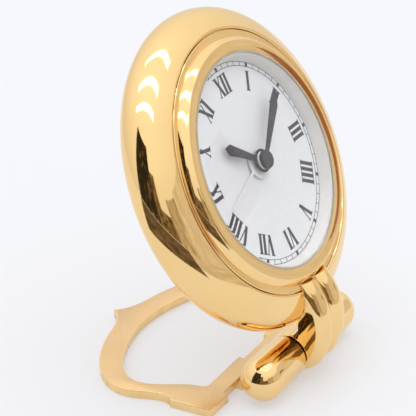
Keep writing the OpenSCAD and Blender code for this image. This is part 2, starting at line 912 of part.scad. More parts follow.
/* Back cover and its controls */
back_screw_dist = cover_r - 0.95;
back_screw_r = 0.5;
back_screw_angles = [45, 135, 225, 315];
knob_lift = 0.25;
switch_y = -20.6;
switch_w = 2.2;
switch_l = 3.4;
hatch_rim = 0.9;
module back_cover() {
    color(satin_gold)
        on_case()
            difference() {
                rod(cover_r, rear_z, cover_top - 0.01, $fn = 128);
                for (p = [time_xy, alarm_xy])
                    at(p)
                        rod(stem_r + run, rear_z - 1, 0);
                at(cell_xy) {
                    rod(hatch_r + 0.05, rear_z - 1, rear_z + 0.7);
                    rod(hatch_r - hatch_rim, rear_z - 1, 0);
                }
                translate([-switch_travel / 2 - switch_l / 2 - 0.1, switch_y - switch_w / 2 - 0.05, rear_z - 1])
                    cube([switch_travel + switch_l + 0.2, switch_w + 0.1, 4]);
                for (a = back_screw_angles)
                    rotate([0, 0, a])
                        translate([0, back_screw_dist, 0]) {
                            rod(back_screw_r + 0.03, rear_z - 1, 0);
                            rod(0.85, rear_z - 1, rear_z + 0.5);
                        }
            }
}
module back_screws() {
    color(steel)
        on_case()
            for (a = back_screw_angles)
                rotate([0, 0, a])
                    translate([0, back_screw_dist, 0])
                        difference() {
                            union() {
                                rod(0.82, rear_z + 0.05, rear_z + 0.5);
                                rod(back_screw_r, rear_z + 0.5, shelf_top + 1.8);
                            }
                            translate([-1, -0.12, rear_z - 0.1])
                                cube([2, 0.24, 0.35]);
                        }
}
module battery_hatch() {
    color(satin_gold)
        on_case()
            at(cell_xy)
                difference() {
                    union() {
                        rod(hatch_r, rear_z, rear_z + 0.65);
                        rod(hatch_r - hatch_rim - 0.05, rear_z + 0.65, cover_top);
                    }
                    translate([-3.6, -0.55, rear_z - 0.2])
                        cube([7.2, 1.1, 0.65]);
                }
}
flutes = 24;
module knob_shape() {
    base = rear_z - knob_lift;
    difference() {
        union() {
            rod(knob_r - 0.35, base - knob_h, base);
            rod(knob_r, base - knob_h + 0.35, base - 0.3);
        }
        for (i = [0 : flutes - 1])
            rotate([0, 0, 360 * i / flutes])
                translate([knob_r + 0.18, 0, 0])
                    rod(0.38, base - knob_h - 1, base + 1, $fn = 16);
        rod(stem_r, base - knob_h + 0.8, base + 1);
    }
}
module time_knob() {
    color(gold)
        on_case()
            at(time_xy)
                knob_shape();
}
module alarm_knob() {
    color(gold)
        on_case()
            at(alarm_xy)
                knob_shape();
}
module alarm_switch() {
    color(black)
        on_case()
            translate([-switch_travel / 2, switch_y, 0])
                union() {
                    translate([-switch_l / 2, -switch_w / 2, rear_z - 0.9])
                        cube([switch_l, switch_w, cover_t + 1.2]);
                    translate([-switch_l / 2 - 0.9, -switch_w / 2 - 0.9, cover_top + 0.02])
                        cube([switch_l + 1.8, switch_w + 1.8, 0.5]);
                }
}

/* Lug: two broad ribs bent round a long and a short arc, on a flat-sided body with a knuckle */
// Points of the lug are given from the hinge axis, towards twelve and towards the reader
rib_step = lug_w / 2;
// Half the width and the height above the valley give the radius of a rib's round section
rib_h = lug_w * rib_share / 2;
rib_r = (pow(rib_step / 2, 2) + rib_h * rib_h) / (2 * rib_h);
// The long curve runs through the ribs' top end and aims at a point below the nose
head = [hinge_drop - crease_r, hinge_back + 2.83];
nose = [-(barrel_r + 0.45), 3.2];
lug_chord = nose - head;
long_c = (head + nose) / 2
    + sqrt(pow(lug_curve_r, 2) - pow(norm(lug_chord) / 2, 2)) * unit([-lug_chord.y, lug_chord.x]);
short_c = long_c + (lug_curve_r - nose_curve_r) * [cos(nose_turn), sin(nose_turn)];
rib_start = 60;
rib_end = 200;
module on_hinge() {
    translate([0, -hinge_drop, -hinge_back])
        children();
}
module across() {
    rotate([90, 0, 90])
        children();
}
// Part of a rib from one angle to another about a centre, with its crest at the radius r
module rib_arc(centre, r, from, to) {
    translate([centre.x, centre.y, 0])
        rotate([0, 0, from])
            rotate_extrude(angle = to - from, $fn = 96)
                intersection() {
                    translate([r - rib_r, 0])
                        circle(rib_r, $fn = 32);
                    translate([r - rib_r * 1.6, -rib_r - 1])
                        square([rib_r * 1.6 + 1, rib_r * 2 + 2]);
                }
}
module rib(x) {
    translate([x, 0, 0])
        across() {
            rib_arc(long_c, lug_curve_r, rib_start, nose_turn);
            rib_arc(short_c, nose_curve_r, nose_turn, rib_end);
        }
}
// Solid that stands for the case and the bezel where the lug meets them
module lug_seat() {
    rotate([0, 0, -115])
        rotate_extrude(angle = 50, $fn = 128)
            polygon(concat(
                [[20, -16], [20, 12], [crease_r + 0.05, 12], [crease_r + 0.05, flange_h + joint_gap]],
                [[bezel_r + joint_gap, flange_h + joint_gap]],
                arc(groove_c, groove_edge_r + 0.02, 150, groove_turn + 12, 4),
                skin(-0.02, roll_in + front_crown * cos(groove_turn), case_r - 1),
                [[case_r - 1, -16]]
            ));
}
module lug() {
    body = concat(
        arc(long_c, lug_curve_r - rib_r, rib_start, nose_turn, 8),
        arc(short_c, nose_curve_r - rib_r, nose_turn + 9, rib_end, 5),
        [[0, 0]],
        bez([hinge_gap - 2.1, 2.3], [hinge_gap - 2.4, 4.5], [hinge_gap - 1.2, 6.3], [hinge_gap + 0.8, 7.1], 4),
        [[hinge_gap + 0.8, 7.1], [hinge_gap + 2.6, 6.4], [head.x + 1, 8]]
    );
    color(gold)
        on_case()
            difference() {
                on_hinge() {
                    across()
                        translate([0, 0, -lug_w / 2 - 1]) {
                            linear_extrude(lug_w + 2)
                                polygon(body);
                            cylinder(r = barrel_r, h = lug_w + 2);
                        }
                    for (side = [-1, 1])
                        rib(side * rib_step / 2);
                }
                lug_seat();
                for (side = [-1, 1])
                    translate([side * (lug_w / 2 + 5) - 5, -hinge_drop - 12, -hinge_back - 12])
                        cube([10, 40, 40]);
                on_hinge()
                    translate([-lug_w, 0, 0])
                        across()
                            cylinder(r = pin_r + run, h = 2 * lug_w);
                for (side = [-1, 1])
                    translate([side * lug_screw_x, -lug_screw_y, 0])
                        rod(lug_screw_r, lug_pad_z, lug_screw_top + 0.1);
            }
}
module lug_screws() {
    color(steel)
        on_case()
            for (side = [-1, 1])
                translate([side * lug_screw_x, -lug_screw_y, 0])
                    union() {
                        rod(lug_screw_r, lug_pad_z, lug_screw_top);
                        rod(1.5, lug_pad_z - 1.1, lug_pad_z);
                    }
}

/* Stand: hinge pin, barrels and foot, in the model frame */
half_lug = lug_w / 2;
barrel_in = half_lug + washer_t + 0.06;
barrel_flat = barrel_l / 2 - barrel_r;
pin_end = barrel_in + 8.5;
front_y = long_c.x * sin(lean) - long_c.y * cos(lean) - lug_curve_r;
hinge_y = -(foot_l + front_y) / 2;
module at_hinge(x) {
    translate([x, hinge_y, axis_h])
        rotate([0, 90, 0])
            children();
}
module hinge_pin() {
    color(steel)
        at_hinge(-pin_end)
            cylinder(r = pin_r, h = 2 * pin_end);
}
module friction_washers() {
    color(steel)
        for (side = [-1, 1])
            at_hinge(side * (half_lug + washer_t / 2 + 0.03) - washer_t / 2)
                difference() {
                    cylinder(r = 3.4, h = washer_t);
                    translate([0, 0, -1])
                        cylinder(r = pin_r + run, h = washer_t + 2);
                }
}
module barrel() {
    difference() {
        union() {
            at_hinge(barrel_in)
                cylinder(r = barrel_r, h = barrel_flat - barrel_in);
            translate([barrel_flat, hinge_y, axis_h])
                rotate([0, 90, 0])
                    sphere(barrel_r);
        }
        at_hinge(0)
            cylinder(r = pin_r, h = pin_end + 0.2);
    }
}
module right_barrel() {
    color(gold)
        barrel();
}
module left_barrel() {
    color(gold)
        mirror([1, 0, 0])
            barrel();
}
bar_back = bar_front + bar_w;
notch_front = bar_front + 1.3;
tongue_w = 16;
// Right half of the ring's outline outside, from the point round to the front corner
foot_outer = concat(
    bez([0, foot_l], [1.5, foot_l - 2.2], [4.4, foot_l - 4], [10, foot_l - 4.9], 7),
    bez([10, foot_l - 4.9], [19, foot_l - 7], [foot_w / 2 - 0.8, foot_l - 12], [foot_w / 2, foot_l - 20.7], 12),
    bez([foot_w / 2, foot_l - 20.7], [foot_w / 2 + 0.3, foot_l - 24.5],
        [shoulder_w - 1.2, bar_front + shoulder_l + 6], [shoulder_w - 1.2, bar_front + shoulder_l + 3.1], 7),
    bez([shoulder_w - 1.2, bar_front + shoulder_l + 3.1], [shoulder_w - 1.2, bar_front + shoulder_l + 1.3],
        [shoulder_w - 0.8, bar_front + shoulder_l + 0.2], [shoulder_w + 0.1, bar_front + shoulder_l], 4),
    [[shoulder_w + 0.1, bar_front + shoulder_l], [shoulder_w, bar_front], [shoulder_w - 8.1, bar_front]],
    [[shoulder_w - 8.1, notch_front], [half_lug, notch_front]],
    [[half_lug, notch_front + 0.8], [0, notch_front + 0.8]]
);
loop_back = foot_l - point_w;
loop_x = foot_w / 2 - ring_w;
loop_step_y = bar_back + 2;
// Right half of the loop inside, from the middle of the back round to the front bar
foot_inner = concat(
    bez([0, loop_back], [11.5, loop_back], [loop_x, loop_back - 6.5], [loop_x, loop_back - 13.4], 12),
    bez([loop_x, loop_back - 13.4], [loop_x, loop_back - 18.5],
        [shoulder_w - 8, loop_step_y + 4], [shoulder_w - 8.2, loop_step_y], 7),
    bez([shoulder_w - 8.2, loop_step_y], [shoulder_w - 8.3, loop_step_y - 1],
        [shoulder_w - 8.5, bar_back], [shoulder_w - 9.5, bar_back], 4),
    [[shoulder_w - 9.5, bar_back], [half_lug, bar_back], [half_lug, bar_back - 1.3], [0, bar_back - 1.3]]
);
module foot_frame() {
    color(satin_gold)
        translate([0, hinge_y, 0])
            union() {
                linear_extrude(foot_t)
                    difference() {
                        polygon(concat(foot_outer, mirrored(foot_outer)));
                        polygon(concat(foot_inner, mirrored(foot_inner)));
                    }
                for (side = [-1, 1])
                    translate([side > 0 ? half_lug + 0.25 : -tongue_w, 0, 0])
                        across()
                            difference() {
                                linear_extrude(tongue_w - half_lug - 0.25)
                                    polygon([
                                        [notch_front, 0], [notch_front, foot_t],
                                        [notch_front - 1.1, foot_t + 1.7],
                                        [barrel_r + 0.6, axis_h - 0.4], [0, axis_h], [1, 0.3], [2.2, 0]
                                    ]);
                                translate([0, axis_h, -1])
                                    cylinder(r = barrel_r + run, h = tongue_w + 2);
                            }
            }
}

case_body();
bezel();
crystal();
crystal_gasket();
rehaut_ring();
dial();
dial_numerals();
minute_track();
hour_hand();
hour_hand_bush();
minute_hand();
hand_cap();
alarm_hand();
movement_holder();
front_plate();
movement_housing();
movement_screws();
circuit_board();
quartz_can();
drive_coil();
stator();
rotor();
train_bridge();
third_wheel();
centre_wheel();
minute_arbor();
minute_wheel();
time_stem();
hour_wheel();
alarm_wheel();
alarm_stem();
buzzer();
button_cell();
battery_contacts();
back_cover();
back_screws();
battery_hatch();
time_knob();
alarm_knob();
alarm_switch();
lug();
lug_screws();
hinge_pin();
friction_washers();
left_barrel();
right_barrel();
foot_frame();
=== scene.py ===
import json
import math

import bmesh
import bpy
from mathutils import Matrix, Vector


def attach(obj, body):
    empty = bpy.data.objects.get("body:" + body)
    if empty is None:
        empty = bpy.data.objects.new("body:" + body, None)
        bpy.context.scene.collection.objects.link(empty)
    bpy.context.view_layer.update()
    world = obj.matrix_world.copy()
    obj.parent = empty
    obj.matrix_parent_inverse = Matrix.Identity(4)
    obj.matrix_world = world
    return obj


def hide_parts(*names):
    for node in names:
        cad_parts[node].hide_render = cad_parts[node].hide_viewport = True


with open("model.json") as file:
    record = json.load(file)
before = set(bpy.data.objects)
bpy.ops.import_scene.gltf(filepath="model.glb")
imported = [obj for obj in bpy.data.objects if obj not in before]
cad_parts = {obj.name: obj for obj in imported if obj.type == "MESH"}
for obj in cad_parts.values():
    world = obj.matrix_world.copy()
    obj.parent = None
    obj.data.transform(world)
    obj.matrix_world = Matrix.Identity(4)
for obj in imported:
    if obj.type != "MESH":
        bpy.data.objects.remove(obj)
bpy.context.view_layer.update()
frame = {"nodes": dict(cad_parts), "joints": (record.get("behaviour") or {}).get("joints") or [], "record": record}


MM = 0.001

# Places taken from the frame: the hinge axis, the dial's centre and the way the dial faces
joints = {joint["name"]: joint for joint in frame["joints"]}
HINGE = Vector(joints["stand_fold"]["pos_m"])
DIAL = Vector(joints["minute_turn"]["pos_m"])
FACING = Vector(joints["minute_turn"]["axis"]).normalized()
RIGHT = Vector((1, 0, 0))
UP = FACING.cross(RIGHT)
# The clock frame: X to three, Y to twelve, Z to the reader, in millimetres from the dial's centre
CLOCK = Matrix.Translation(DIAL) @ Matrix((RIGHT, UP, FACING)).transposed().to_4x4() @ Matrix.Scale(MM, 4)
# The hinge frame: world axes, in millimetres from the middle of the hinge axis
STAND = Matrix.Translation(HINGE) @ Matrix.Scale(MM, 4)

# Driving sizes of the clock, in millimetres. Radii and heights of round pieces are in the clock frame.
CASE_R = 37.5
CASE_MID = 5.5
ROLL_W = 10.3
FRONT_H = 7.6
REAR_H = 6.4
FRONT_EDGE_R = 6.5
REAR_EDGE_R = 5.0
COVER_R = 27.0
BEZEL_R = 30.5
GROOVE_R = BEZEL_R + 0.16
GROOVE_EDGE_R = 0.5
COLLAR_R = 29.15
LIP_R = 25.15
LIP_H = 3.25
CREST_H = 3.4
CREST_IN = 2.75
CREST_R = 0.6
SLOPE_BULGE = 0.16
FLANGE_W = 1.3
FLANGE_H = 1.4
SEAT_H = 0.5
CRYSTAL_R = 24.73
CRYSTAL_Z = 2.8
CRYSTAL_T = 0.7
CRYSTAL_RISE = 0.7
CRYSTAL_BEVEL = 0.2
REAR_Z = -CASE_MID - REAR_H
# The case's hollow: radii and heights of its corners
HOLLOW_R = 35.5
HOLLOW_STEP_R = 34.5
HOLLOW_FRONT = -2.6
HOLLOW_REAR = -8.5
HOLLOW_IN_R = 28.2
COVER_STEP_W = 1.9
COVER_STEP_H = 1.2
COVER_GAP = 0.02
COLLAR_GAP = 0.05
# The bezel's collar behind the crystal, and the sloping ring below it
COLLAR_IN_R = 26.1
COLLAR_FOOT = -1.0
RING_LOW_R = 23.7
RING_HIGH_R = 24.33
RING_FLANGE_R = 25.13
RING_OUT_R = 25.8
# The tube between the two hands
TUBE_R = 2.12
TUBE_BORE_R = 1.2
TUBE_LOW = 1.73
TUBE_HIGH = 2.33
TUBE_EDGE = 0.04
FOOT_CHAMFER = 0.16
BARREL_R = 5.17
BARREL_HALF = 22.7
BARREL_BORE_R = 1.5
BARREL_GAP = 0.36
BARREL_EDGE_R = 0.15
LUG_W = 12.2
LUG_EDGE_R = 0.2
PIN_BORE_R = 1.56
JOINT_GAP = 0.12
# The ribs' rounded top end, as steps in from the wall beside the bezel and down from the top
RIB_END = ((0, 0.35), (0.03, 0.18), (0.12, 0.06))
RIB_END_IN = 0.3
# The stretch of the lug's outline between the knuckle and the case
NECK = [(4.45, 4.0), (4.75, 5.0), (5.3, 5.9)]
KNUCKLE_INSET = 0.02
KNUCKLE_END = 384
HINGE_DROP = 44.2
HINGE_BACK = 10.06
# The lug's outline and the two arcs along the top of its ribs are given from the hinge axis,
# towards twelve and towards the reader
LONG_R = 16.2
SHORT_R = 7.5
ARC_CHANGE = 146
RIB_R = 3.19
LONG_C = Vector((9.589, -2.379))
CHANGE_WAY = Vector((math.cos(math.radians(ARC_CHANGE)), math.sin(math.radians(ARC_CHANGE))))
SHORT_C = LONG_C + (LONG_R - SHORT_R) * CHANGE_WAY


# Outlines

def arc(cx, cy, r, start, end, steps):
    """Points of an arc from one angle to another, in degrees."""
    turns = [math.radians(start + (end - start) * i / steps) for i in range(steps + 1)]
    return [(cx + r * math.cos(t), cy + r * math.sin(t)) for t in turns]


def roll(height, edge_r, side, to_r, inset=0.0, steps=24):
    """Half of the case's rolled section from its widest line inwards to the radius to_r."""
    inner = CASE_R - ROLL_W
    big = ((ROLL_W - edge_r) ** 2 + height ** 2 - edge_r ** 2) / (2 * (height - edge_r))
    middle = math.degrees(math.atan2(big - height, ROLL_W - edge_r))
    last = math.degrees(math.acos((to_r - inner) / (big - inset)))
    points = arc(CASE_R - edge_r, 0, edge_r - inset, 0, middle, steps)
    points += arc(inner, height - big, big - inset, middle, last, steps)[1:]
    return [(x, side * y - CASE_MID) for x, y in points]


def groove_edge(steps=8):
    """The rounded edge from the roll down into the groove, and the radius where it meets the roll."""
    inner = CASE_R - ROLL_W
    across = ROLL_W - FRONT_EDGE_R
    big = (across ** 2 + FRONT_H ** 2 - FRONT_EDGE_R ** 2) / (2 * (FRONT_H - FRONT_EDGE_R))
    low = FRONT_H - big - CASE_MID
    x = GROOVE_R + GROOVE_EDGE_R
    z = low + math.sqrt((big - GROOVE_EDGE_R) ** 2 - (x - inner) ** 2)
    turn = math.degrees(math.atan2(z - low, x - inner))
    return arc(x, z, GROOVE_EDGE_R, 180, turn, steps), inner + big * math.cos(math.radians(turn))


def bezel_top(steps=12):
    """The bezel's outline from its lip over the rounded crest and down its slope to the flange."""
    crease_r = BEZEL_R - FLANGE_W
    crest_x = BEZEL_R - CREST_IN
    slope = math.degrees(math.atan2(CREST_H - FLANGE_H, crease_r - crest_x))
    rise = math.degrees(math.atan2(CREST_H - LIP_H, crest_x - LIP_R))
    half = math.radians((180 - slope - rise) / 2)
    turn = math.radians(-90 + (rise - slope) / 2)
    reach = CREST_R / math.sin(half)
    cx = crest_x + reach * math.cos(turn)
    cy = CREST_H + reach * math.sin(turn)
    points = [(LIP_R, LIP_H - 0.12)] + arc(LIP_R + 0.12, LIP_H - 0.12, 0.12, 180, 92, 4)
    points += arc(cx, cy, CREST_R, 90 + rise, 90 - slope, steps)
    top = points[-1]
    for i in range(1, steps + 1):
        t = i / steps
        bulge = SLOPE_BULGE * 4 * t * (1 - t)
        across = math.radians(slope)
        x = top[0] + (crease_r - top[0]) * t + bulge * math.sin(across)
        points.append((x, top[1] + (FLANGE_H - top[1]) * t + bulge * math.cos(across)))
    points += arc(BEZEL_R - 0.25, FLANGE_H - 0.25, 0.25, 90, 0, 6)
    return points


def dome(bevel, up, steps=24):
    """The crystal's curve, raised by up, from its edge less the bevel towards its middle."""
    radius = (CRYSTAL_R ** 2 + CRYSTAL_RISE ** 2) / (2 * CRYSTAL_RISE)
    start = math.degrees(math.acos((CRYSTAL_R - bevel) / radius))
    return arc(0, CRYSTAL_Z + CRYSTAL_RISE - radius + up, radius, start, 90, steps)[:-1]


# Mesh helpers

def add_piece(name, mesh, body, material, smooth=True, sharp=40):
    """Puts a mesh in the scene as a piece that rides on a body."""
    obj = bpy.data.objects.new(name, mesh)
    bpy.context.scene.collection.objects.link(obj)
    mesh.materials.append(material)
    if smooth:
        for face in mesh.polygons:
            face.use_smooth = True
        mesh.set_sharp_from_angle(angle=math.radians(sharp))
    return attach(obj, body)


def stand_in(name, mesh, node, body, slot, sharp=40):
    """Adds a finer mesh in the place of a CAD node, in the material of its slot."""
    piece = add_piece(name, mesh, body, materials[slot], sharp=sharp)
    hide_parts(node)


def lathe(points, place, segments=256, closed=True):
    """A mesh turned from an outline of (radius, height) points about the place's Z axis."""
    bm = bmesh.new()
    rings = []
    for r, z in points:
        if r < 1e-6:
            rings.append([bm.verts.new((0, 0, z))])
            continue
        turns = [2 * math.pi * i / segments for i in range(segments)]
        rings.append([bm.verts.new((r * math.cos(t), r * math.sin(t), z)) for t in turns])
    pairs = list(zip(rings, rings[1:]))
    if closed:
        pairs.append((rings[-1], rings[0]))
    for one, two in pairs:
        if len(one) == 1 and len(two) == 1:
            continue
        for i in range(segments):
            j = (i + 1) % segments
            if len(one) == 1:
                bm.faces.new((one[0], two[j], two[i]))
            elif len(two) == 1:
                bm.faces.new((one[i], one[j], two[0]))
            else:
                bm.faces.new((one[i], one[j], two[j], two[i]))
    bmesh.ops.recalc_face_normals(bm, faces=bm.faces)
    mesh = bpy.data.meshes.new("lathe")
    bm.to_mesh(mesh)
    bm.free()
    mesh.transform(place)
    return mesh


# Materials

class Nodes:
    """A material's node tree with short helpers."""

    def __init__(self, name):
        """Starts a material from one plain shader, placed by the object's own coordinates."""
        self.material = bpy.data.materials.new(name)
        self.material.use_nodes = True
        self.tree = self.material.node_tree
        self.tree.nodes.clear()
        self.output = self.tree.nodes.new("ShaderNodeOutputMaterial")
        self.shader = self.tree.nodes.new("ShaderNodeBsdfPrincipled")
        self.link(self.shader.outputs[0], self.output.inputs["Surface"])
        coords = self.tree.nodes.new("ShaderNodeTexCoord")
        self.place = coords.outputs["Object"]

    def link(self, start, end):
        """Joins two sockets."""
        self.tree.links.new(start, end)

    def set(self, **values):
        """Sets the shader's own sockets, with _ for each space in a socket's name."""
        for name, value in values.items():
            self.shader.inputs[name.replace("_", " ")].default_value = value
        return self

    def noise(self, scale, detail=3.0, rough=0.5, stretch=None):
        """Noise from 0 to 1, finer along the axes that are stretched."""
        node = self.tree.nodes.new("ShaderNodeTexNoise")
        node.inputs["Scale"].default_value = scale
        node.inputs["Detail"].default_value = detail
        node.inputs["Roughness"].default_value = rough
        place = self.place
        if stretch:
            mapping = self.tree.nodes.new("ShaderNodeMapping")
            mapping.inputs["Scale"].default_value = stretch
            self.link(self.place, mapping.inputs["Vector"])
            place = mapping.outputs[0]
        self.link(place, node.inputs["Vector"])
        return node.outputs["Fac"]

    def remap(self, value, low, high, out_low, out_high):
        """A value moved from one range to another, and held inside it."""
        node = self.tree.nodes.new("ShaderNodeMapRange")
        node.inputs["From Min"].default_value = low
        node.inputs["From Max"].default_value = high
        node.inputs["To Min"].default_value = out_low
        node.inputs["To Max"].default_value = out_high
        self.link(value, node.inputs["Value"])
        return node.outputs[0]

    def math(self, operation, one, two):
        """A sum or product of sockets or numbers."""
        node = self.tree.nodes.new("ShaderNodeMath")
        node.operation = operation
        for socket, value in zip(node.inputs, (one, two)):
            if isinstance(value, (int, float)):
                socket.default_value = value
            else:
                self.link(value, socket)
        return node.outputs[0]

    def blend(self, factor, low, high):
        """A colour between two, by a factor from 0 to 1."""
        node = self.tree.nodes.new("ShaderNodeMix")
        node.data_type = "RGBA"
        node.inputs[6].default_value = (*low, 1)
        node.inputs[7].default_value = (*high, 1)
        self.link(factor, node.inputs[0])
        return node.outputs[2]

    def bump(self, height, strength, distance):
        """Fine relief on the whole surface."""
        node = self.tree.nodes.new("ShaderNodeBump")
        node.inputs["Strength"].default_value = strength
        node.inputs["Distance"].default_value = distance
        self.link(height, node.inputs["Height"])
        self.link(node.outputs[0], self.shader.inputs["Normal"])


def polished_gold():
    """Gold plate with a fine orange peel, light handling haze and hair scratches."""
    n = Nodes("polished gold")
    n.set(Metallic=1.0)
    tone = n.remap(n.noise(90, 4), 0.3, 0.7, 0, 1)
    n.link(n.blend(tone, (0.92, 0.64, 0.28), (0.96, 0.68, 0.325)), n.shader.inputs["Base Color"])
    haze = n.remap(n.noise(160, 5, 0.6), 0.35, 0.75, 0.035, 0.095)
    n.link(haze, n.shader.inputs["Roughness"])
    scratches = n.noise(60, 6, 0.7, (1, 40, 8))
    n.bump(n.math("ADD", n.math("MULTIPLY", scratches, 0.5), n.noise(400, 2)), 0.035, 0.0001)
    return n.material


def satin_gold():
    """Bead-blasted gold plate of the foot, with a fine even grain."""
    n = Nodes("satin gold")
    n.set(Metallic=1.0)
    grain = n.noise(1800, 4, 0.6)
    cloud = n.noise(120, 3)
    mottle = n.math("ADD", n.math("MULTIPLY", grain, 0.7), n.math("MULTIPLY", cloud, 0.3))
    tone = n.remap(mottle, 0.35, 0.65, 0, 1)
    n.link(n.blend(tone, (0.79, 0.535, 0.26), (0.88, 0.615, 0.325)), n.shader.inputs["Base Color"])
    n.link(n.remap(grain, 0.3, 0.7, 0.34, 0.46), n.shader.inputs["Roughness"])
    n.bump(grain, 0.16, 0.0001)
    return n.material


def edge_gold():
    """Smoother gold on the foot's walls and chamfers, where hands have polished it."""
    n = Nodes("worn gold edge")
    n.set(Metallic=1.0)
    wear = n.remap(n.noise(260, 5, 0.6), 0.35, 0.65, 0, 1)
    n.link(n.blend(wear, (0.88, 0.62, 0.29), (0.96, 0.70, 0.35)), n.shader.inputs["Base Color"])
    n.link(n.remap(wear, 0, 1, 0.26, 0.14), n.shader.inputs["Roughness"])
    n.bump(n.noise(900, 3), 0.06, 0.0001)
    return n.material


def dial_silver():
    """Matt silvered dial with a very fine grain."""
    n = Nodes("silvered dial")
    n.set(Metallic=0.0, Roughness=0.42)
    tone = n.remap(n.noise(900, 4, 0.6), 0.3, 0.7, 0, 1)
    n.link(n.blend(tone, (0.855, 0.87, 0.89), (0.89, 0.905, 0.92)), n.shader.inputs["Base Color"])
    n.bump(n.noise(3000, 2), 0.05, 0.00005)
    return n.material


def dial_ink():
    """Printed ink with slightly uneven cover."""
    n = Nodes("dial ink")
    cover = n.remap(n.noise(1500, 3), 0.35, 0.65, 0, 1)
    n.link(n.blend(cover, (0.045, 0.042, 0.055), (0.085, 0.08, 0.095)), n.shader.inputs["Base Color"])
    n.set(Roughness=0.5)
    return n.material


def dark_metal():
    """Dark lacquered hands with a soft sheen."""
    n = Nodes("dark lacquered metal")
    tone = n.remap(n.noise(700, 4, 0.6, (1, 6, 1)), 0.3, 0.7, 0, 1)
    n.link(n.blend(tone, (0.05, 0.05, 0.065), (0.095, 0.095, 0.115)), n.shader.inputs["Base Color"])
    n.set(Metallic=0.35, Roughness=0.38)
    n.bump(n.noise(1200, 3, 0.6, (1, 10, 1)), 0.05, 0.00005)
    return n.material


def pale_paint():
    """Pale lacquer of the alarm hand."""
    n = Nodes("pale hand")
    tone = n.remap(n.noise(900, 3), 0.3, 0.7, 0, 1)
    n.link(n.blend(tone, (0.83, 0.845, 0.85), (0.89, 0.90, 0.905)), n.shader.inputs["Base Color"])
    n.set(Roughness=0.45)
    return n.material


def pale_metal():
    """Satin ring between dial and crystal."""
    n = Nodes("pale satin metal")
    tone = n.remap(n.noise(900, 3), 0.3, 0.7, 0, 1)
    n.link(n.blend(tone, (0.965, 0.935, 0.90), (0.985, 0.96, 0.93)), n.shader.inputs["Base Color"])
    n.link(n.remap(tone, 0, 1, 0.3, 0.38), n.shader.inputs["Roughness"])
    n.set(Metallic=0.0)
    return n.material


def cut_metal(name, scale, stretch, low, high):
    """Bare turned or cut metal with fine tool lines."""
    n = Nodes(name)
    grain = n.noise(scale, 4, 0.6, stretch)
    n.link(n.blend(n.remap(grain, 0.3, 0.7, 0, 1), low, high), n.shader.inputs["Base Color"])
    n.link(n.remap(grain, 0.3, 0.7, 0.22, 0.36), n.shader.inputs["Roughness"])
    n.set(Metallic=1.0)
    return n.material


def moulded(name, low, high, rough):
    """Moulded plastic or rubber with a fine matt skin."""
    n = Nodes(name)
    tone = n.remap(n.noise(400, 4), 0.3, 0.7, 0, 1)
    n.link(n.blend(tone, low, high), n.shader.inputs["Base Color"])
    skin = n.remap(n.noise(700, 3), 0.3, 0.7, rough - 0.05, rough + 0.08)
    n.link(skin, n.shader.inputs["Roughness"])
    n.bump(n.noise(2500, 2), 0.1, 0.00005)
    return n.material


def copper():
    """Enamelled winding: fine turns along the coil."""
    n = Nodes("wound copper")
    wave = n.tree.nodes.new("ShaderNodeTexWave")
    wave.inputs["Scale"].default_value = 1500
    n.link(n.place, wave.inputs["Vector"])
    turns = n.blend(wave.outputs["Fac"], (0.32, 0.1, 0.035), (0.58, 0.22, 0.09))
    n.link(turns, n.shader.inputs["Base Color"])
    n.set(Metallic=0.8, Roughness=0.3)
    n.bump(wave.outputs["Fac"], 0.3, 0.0001)
    return n.material


def crystal_glass():
    """Clear crystal with a low index, so that the dial isn't shifted, and a coat for its gloss."""
    n = Nodes("crystal glass")
    n.set(Base_Color=(0.985, 0.99, 1, 1), IOR=1.06, Transmission_Weight=1.0)
    n.set(Coat_Weight=0.5, Coat_Roughness=0.01)
    n.link(n.remap(n.noise(300, 4), 0.35, 0.75, 0.0, 0.02), n.shader.inputs["Roughness"])
    clear = n.tree.nodes.new("ShaderNodeBsdfTransparent")
    clear.inputs["Color"].default_value = (0.97, 0.985, 1, 1)
    mix = n.tree.nodes.new("ShaderNodeMixShader")
    rays = n.tree.nodes.new("ShaderNodeLightPath")
    # Shadow rays pass straight through, so that light reaches the dial
    n.link(rays.outputs["Is Shadow Ray"], mix.inputs[0])
    n.link(n.shader.outputs[0], mix.inputs[1])
    n.link(clear.outputs[0], mix.inputs[2])
    n.link(mix.outputs[0], n.output.inputs["Surface"])
    return n.material


materials = {
    "polished_gold": polished_gold(),
    "satin_gold": satin_gold(),
    "crystal_glass": crystal_glass(),
    "gasket_rubber": moulded("gasket", (0.5, 0.42, 0.3), (0.6, 0.52, 0.38), 0.45),
    "pale_metal": pale_metal(),
    "dial_silver": dial_silver(),
    "dial_ink": dial_ink(),
    "dark_metal": dark_metal(),
    "pale_paint": pale_paint(),
    "white_plastic": moulded("white plastic", (0.66, 0.66, 0.63), (0.74, 0.74, 0.71), 0.5),
    "black_plastic": moulded("black plastic", (0.01, 0.01, 0.011), (0.02, 0.02, 0.022), 0.45),
    "plain_steel": cut_metal("plain steel", 600, (1, 12, 1), (0.42, 0.42, 0.43), (0.6, 0.6, 0.61)),
    "gear_brass": cut_metal("cut brass", 500, (1, 10, 1), (0.56, 0.36, 0.1), (0.68, 0.46, 0.15)),
    "copper_wire": copper(),
    "board_green": moulded("circuit board", (0.01, 0.1, 0.035), (0.02, 0.15, 0.055), 0.3),
}

slot_of = {part["node"]: part["material_slot"] for part in frame["record"]["subparts"]}
for node, obj in frame["nodes"].items():
    obj.data.materials.clear()
    obj.data.materials.append(materials[slot_of[node]])


# Case, bezel and crystal as fine lathe meshes

